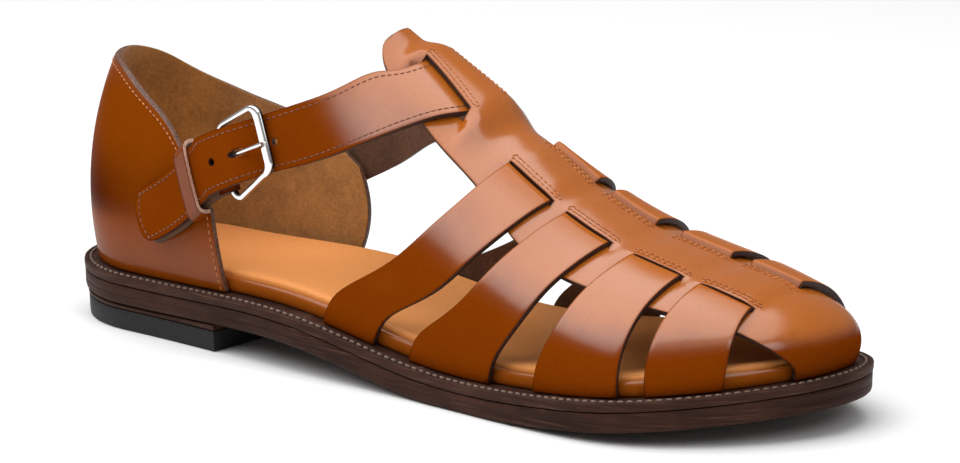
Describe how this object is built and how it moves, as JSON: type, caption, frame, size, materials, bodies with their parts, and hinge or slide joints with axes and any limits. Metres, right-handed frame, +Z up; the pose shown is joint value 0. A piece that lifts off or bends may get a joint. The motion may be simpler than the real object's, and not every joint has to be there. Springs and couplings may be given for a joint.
{
  "type": "fisherman sandal",
  "caption": "Right leather fisherman sandal with a closed toe cap, woven straps, T strap with a buckled ankle strap, closed heel and a thin welted sole with a low heel",
  "frame": {"origin": "Centre of the bounding box in plan, on the floor the shoe stands on", "axes": "X along the shoe from heel to toe, Y across it with minus on the outer side where the buckle is, Z up"},
  "size_m": [0.3, 0.1039, 0.1063],
  "materials": {
    "upper_leather": "tan full-grain, burnished and polished",
    "sock_leather": "smooth natural tan, semi-matt",
    "sole_leather": "dark brown stained edge, waxed",
    "welt_leather": "dark brown stitched welt, waxed",
    "heel_rubber": "black moulded rubber, matt",
    "buckle_steel": "polished nickel plate"
  },
  "bodies": {
    "root": {"outsole": "sole_leather", "welt": "welt_leather", "heel_lift": "sole_leather", "heel_top_piece": "heel_rubber", "insole": "sock_leather", "rand": "upper_leather", "vamp": "upper_leather", "quarter": "upper_leather", "ankle_strap": "upper_leather", "buckle_tab": "upper_leather", "keeper": "upper_leather", "buckle_frame": "buckle_steel", "buckle_prong": "buckle_steel"}
  },
  "joints": []
}
